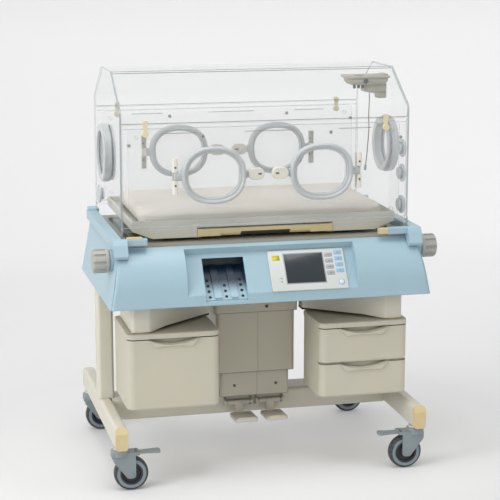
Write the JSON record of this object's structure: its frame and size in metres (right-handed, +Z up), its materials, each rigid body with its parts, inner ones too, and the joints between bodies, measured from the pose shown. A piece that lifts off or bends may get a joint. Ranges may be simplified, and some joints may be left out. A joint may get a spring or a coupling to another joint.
{
  "type": "infant incubator",
  "caption": "Closed infant incubator: clear hood with hand ports over a tilting mattress tray, blue base with controls, lifting column, storage pods and a castered stand.",
  "frame": {"origin": "on the floor, in the middle between the four casters", "axes": "+X towards the right end of the bed, +Y from the operator's front to the back, +Z up"},
  "size_m": [1.026, 0.68, 1.194],
  "materials": {
    "cream_paint": "satin",
    "cream_plastic": "satin",
    "steel_frame": "satin",
    "blue_shell": "satin moulding",
    "cream_moulding": "satin moulding",
    "panel_bezel": "smooth",
    "dock_insert": "fine grain",
    "fan_metal": "brushed",
    "fan_plastic": "moulded",
    "knob_grey": "fine grain",
    "pod_plastic": "fine grain",
    "pedal_plastic": "fine grain",
    "tray_plastic": "satin moulding",
    "cassette_tray": "satin moulding",
    "mattress_fabric": "soft cover",
    "clear_acrylic": "polished clear",
    "port_trim": "smooth",
    "port_ring": "smooth",
    "module_plastic": "fine grain",
    "lead_rubber": "smooth",
    "probe_metal": "polished",
    "fork_plastic": "fine grain",
    "wheel_tyre": "smooth",
    "latch_plastic": "smooth",
    "turner_plastic": "smooth"
  },
  "bodies": {
    "stand": {"legs": "cream_paint", "leg_end_caps": "cream_plastic", "crossbar": "cream_paint", "outer_posts": "cream_paint", "lower_shroud": "cream_paint"},
    "middle_shroud": {"middle_shroud": "cream_paint"},
    "chassis": {"base_shell": "blue_shell", "chassis_frame": "steel_frame", "deck": "cream_moulding", "upper_shroud": "cream_paint", "end_rails": "blue_shell", "arm_pads": "cream_plastic", "control_panel": "panel_bezel", "sensor_dock": "dock_insert", "pod_hangers": "cream_paint", "fan_motor_and_heater": "fan_metal"},
    "fork_front_left": {"caster_fork_front_left": "fork_plastic"},
    "wheel_front_left": {"caster_wheel_front_left": "wheel_tyre"},
    "fork_front_right": {"caster_fork_front_right": "fork_plastic"},
    "wheel_front_right": {"caster_wheel_front_right": "wheel_tyre"},
    "fork_back_left": {"caster_fork_back_left": "fork_plastic"},
    "wheel_back_left": {"caster_wheel_back_left": "wheel_tyre"},
    "fork_back_right": {"caster_fork_back_right": "fork_plastic"},
    "wheel_back_right": {"caster_wheel_back_right": "wheel_tyre"},
    "brake_left": {"brake_lever_left": "pedal_plastic"},
    "brake_right": {"brake_lever_right": "pedal_plastic"},
    "pedal_lower": {"pedal_lower": "pedal_plastic"},
    "pedal_raise": {"pedal_raise": "pedal_plastic"},
    "fan": {"fan_wheel": "fan_plastic"},
    "pod_left": {"pod_left": "pod_plastic"},
    "pod_right": {"pod_right": "pod_plastic"},
    "drawer_left": {"drawer_left": "pod_plastic"},
    "drawer_right_lower": {"drawer_right_lower": "pod_plastic"},
    "drawer_right_upper": {"drawer_right_upper": "pod_plastic"},
    "bed_frame": {"bed_frame": "cream_moulding"},
    "bed": {"bed_tray": "tray_plastic", "mattress": "mattress_fabric"},
    "knob_right": {"tilt_knob_right": "knob_grey"},
    "knob_left": {"tilt_knob_left": "knob_grey"},
    "xray_tray": {"xray_tray": "cassette_tray"},
    "hood": {"canopy": "clear_acrylic", "end_panels": "clear_acrylic", "end_ports": "port_trim", "sensor_module": "module_plastic", "sensor_lead": "lead_rubber", "sensor_probe": "probe_metal"},
    "front_door": {"front_door": "clear_acrylic"},
    "back_door": {"back_door": "clear_acrylic"},
    "port_front_left": {"port_door_front_left": "port_ring"},
    "latch_front_left": {"port_latch_front_left": "latch_plastic"},
    "turner_front_left": {"turn_latch_front_left": "turner_plastic"},
    "port_front_right": {"port_door_front_right": "port_ring"},
    "latch_front_right": {"port_latch_front_right": "latch_plastic"},
    "turner_front_right": {"turn_latch_front_right": "turner_plastic"},
    "port_back_left": {"port_door_back_left": "port_ring"},
    "latch_back_left": {"port_latch_back_left": "latch_plastic"},
    "turner_back_left": {"turn_latch_back_left": "turner_plastic"},
    "port_back_right": {"port_door_back_right": "port_ring"},
    "latch_back_right": {"port_latch_back_right": "latch_plastic"},
    "turner_back_right": {"turn_latch_back_right": "turner_plastic"}
  },
  "joints": [
    {"name": "lift", "type": "slide", "parent": "stand", "child": "chassis", "axis": [0, 0, 1], "range_m": [0, 0.2]},
    {"name": "middle_shroud_slide", "type": "slide", "parent": "stand", "child": "middle_shroud", "axis": [0, 0, 1], "range_m": [0, 0.1]},
    {"name": "swivel_front_left", "type": "hinge", "parent": "stand", "child": "fork_front_left", "pos_m": [-0.45, -0.2945, 0.1], "axis": [0, 0, 1], "continuous": true},
    {"name": "roll_front_left", "type": "hinge", "parent": "fork_front_left", "child": "wheel_front_left", "pos_m": [-0.418, -0.2945, 0.05], "axis": [0, 1, 0], "continuous": true},
    {"name": "swivel_front_right", "type": "hinge", "parent": "stand", "child": "fork_front_right", "pos_m": [0.45, -0.2945, 0.1], "axis": [0, 0, 1], "continuous": true},
    {"name": "roll_front_right", "type": "hinge", "parent": "fork_front_right", "child": "wheel_front_right", "pos_m": [0.418, -0.2945, 0.05], "axis": [0, 1, 0], "continuous": true},
    {"name": "swivel_back_left", "type": "hinge", "parent": "stand", "child": "fork_back_left", "pos_m": [-0.45, 0.2945, 0.1], "axis": [0, 0, 1], "continuous": true},
    {"name": "roll_back_left", "type": "hinge", "parent": "fork_back_left", "child": "wheel_back_left", "pos_m": [-0.418, 0.2945, 0.05], "axis": [0, 1, 0], "continuous": true},
    {"name": "swivel_back_right", "type": "hinge", "parent": "stand", "child": "fork_back_right", "pos_m": [0.45, 0.2945, 0.1], "axis": [0, 0, 1], "continuous": true},
    {"name": "roll_back_right", "type": "hinge", "parent": "fork_back_right", "child": "wheel_back_right", "pos_m": [0.418, 0.2945, 0.05], "axis": [0, 1, 0], "continuous": true},
    {"name": "brake_left", "type": "hinge", "parent": "fork_front_left", "child": "brake_left", "pos_m": [-0.398, -0.2945, 0.111], "axis": [0, 1, 0], "range_deg": [0, 12]},
    {"name": "brake_right", "type": "hinge", "parent": "fork_front_right", "child": "brake_right", "pos_m": [0.398, -0.2945, 0.111], "axis": [0, -1, 0], "range_deg": [0, 12]},
    {"name": "pedal_lower_press", "type": "hinge", "parent": "stand", "child": "pedal_lower", "pos_m": [-0.043, -0.062, 0.168], "axis": [1, 0, 0], "range_deg": [0, 10], "stiffness_Nm_per_rad": 20},
    {"name": "pedal_raise_press", "type": "hinge", "parent": "stand", "child": "pedal_raise", "pos_m": [0.056, -0.062, 0.168], "axis": [1, 0, 0], "range_deg": [0, 10], "stiffness_Nm_per_rad": 20},
    {"name": "fan_spin", "type": "hinge", "parent": "chassis", "child": "fan", "pos_m": [0.25, 0, 0.62], "axis": [0, 0, 1], "continuous": true},
    {"name": "pod_left_swing", "type": "hinge", "parent": "chassis", "child": "pod_left", "pos_m": [-0.382, -0.255, 0.45], "axis": [0, 0, -1], "range_deg": [0, 90]},
    {"name": "pod_right_swing", "type": "hinge", "parent": "chassis", "child": "pod_right", "pos_m": [0.382, -0.255, 0.45], "axis": [0, 0, 1], "range_deg": [0, 90]},
    {"name": "drawer_left_slide", "type": "slide", "parent": "pod_left", "child": "drawer_left", "axis": [0, -1, 0], "range_m": [0, 0.12]},
    {"name": "drawer_right_lower_slide", "type": "slide", "parent": "pod_right", "child": "drawer_right_lower", "axis": [0, -1, 0], "range_m": [0, 0.12]},
    {"name": "drawer_right_upper_slide", "type": "slide", "parent": "pod_right", "child": "drawer_right_upper", "axis": [0, -1, 0], "range_m": [0, 0.12]},
    {"name": "bed_right_end_lift", "type": "hinge", "parent": "chassis", "child": "bed_frame", "pos_m": [-0.372, 0, 0.705], "axis": [0, -1, 0], "range_deg": [0, 12]},
    {"name": "bed_left_end_lift", "type": "hinge", "parent": "bed_frame", "child": "bed", "pos_m": [0.372, 0, 0.705], "axis": [0, 1, 0], "range_deg": [0, 12]},
    {"name": "knob_right_turn", "type": "hinge", "parent": "chassis", "child": "knob_right", "pos_m": [0.5, -0.25, 0.672], "axis": [1, 0, 0], "range_deg": [0, 360]},
    {"name": "knob_left_turn", "type": "hinge", "parent": "chassis", "child": "knob_left", "pos_m": [-0.5, -0.25, 0.672], "axis": [-1, 0, 0], "range_deg": [0, 360]},
    {"name": "xray_tray_slide", "type": "slide", "parent": "bed", "child": "xray_tray", "axis": [0, -1, 0], "range_m": [0, 0.25]},
    {"name": "hood_lift", "type": "hinge", "parent": "chassis", "child": "hood", "pos_m": [0, 0.227, 0.7363], "axis": [-1, 0, 0], "range_deg": [0, 45]},
    {"name": "front_door_drop", "type": "hinge", "parent": "hood", "child": "front_door", "pos_m": [0, -0.2465, 0.753], "axis": [1, 0, 0], "range_deg": [0, 90]},
    {"name": "back_door_drop", "type": "hinge", "parent": "hood", "child": "back_door", "pos_m": [0, 0.2465, 0.753], "axis": [1, 0, 0], "range_deg": [-90, 0]},
    {"name": "port_front_left_swing", "type": "hinge", "parent": "front_door", "child": "port_front_left", "pos_m": [-0.273, -0.2603, 0.908], "axis": [0, 0, -1], "range_deg": [0, 100]},
    {"name": "latch_front_left_press", "type": "slide", "parent": "front_door", "child": "latch_front_left", "axis": [0, 1, 0], "range_m": [0, 0.003], "stiffness_N_per_m": 800},
    {"name": "turn_front_left", "type": "hinge", "parent": "front_door", "child": "turner_front_left", "pos_m": [-0.356, -0.25, 1.03], "axis": [0, -1, 0], "range_deg": [0, 90]},
    {"name": "port_front_right_swing", "type": "hinge", "parent": "front_door", "child": "port_front_right", "pos_m": [0.273, -0.2603, 0.908], "axis": [0, 0, 1], "range_deg": [0, 100]},
    {"name": "latch_front_right_press", "type": "slide", "parent": "front_door", "child": "latch_front_right", "axis": [0, 1, 0], "range_m": [0, 0.003], "stiffness_N_per_m": 800},
    {"name": "turn_front_right", "type": "hinge", "parent": "front_door", "child": "turner_front_right", "pos_m": [0.356, -0.25, 1.03], "axis": [0, 1, 0], "range_deg": [0, 90]},
    {"name": "port_back_left_swing", "type": "hinge", "parent": "back_door", "child": "port_back_left", "pos_m": [-0.273, 0.2603, 0.908], "axis": [0, 0, 1], "range_deg": [0, 100]},
    {"name": "latch_back_left_press", "type": "slide", "parent": "back_door", "child": "latch_back_left", "axis": [0, -1, 0], "range_m": [0, 0.003], "stiffness_N_per_m": 800},
    {"name": "turn_back_left", "type": "hinge", "parent": "back_door", "child": "turner_back_left", "pos_m": [-0.356, 0.25, 1.03], "axis": [0, -1, 0], "range_deg": [0, 90]},
    {"name": "port_back_right_swing", "type": "hinge", "parent": "back_door", "child": "port_back_right", "pos_m": [0.273, 0.2603, 0.908], "axis": [0, 0, -1], "range_deg": [0, 100]},
    {"name": "latch_back_right_press", "type": "slide", "parent": "back_door", "child": "latch_back_right", "axis": [0, -1, 0], "range_m": [0, 0.003], "stiffness_N_per_m": 800},
    {"name": "turn_back_right", "type": "hinge", "parent": "back_door", "child": "turner_back_right", "pos_m": [0.356, 0.25, 1.03], "axis": [0, 1, 0], "range_deg": [0, 90]}
  ],
  "couplings": [
    {"joint": "middle_shroud_slide", "follows": "lift", "ratio": 0.5},
    {"joint": "knob_right_turn", "follows": "bed_right_end_lift", "ratio": 30},
    {"joint": "knob_left_turn", "follows": "bed_left_end_lift", "ratio": 30}
  ]
}
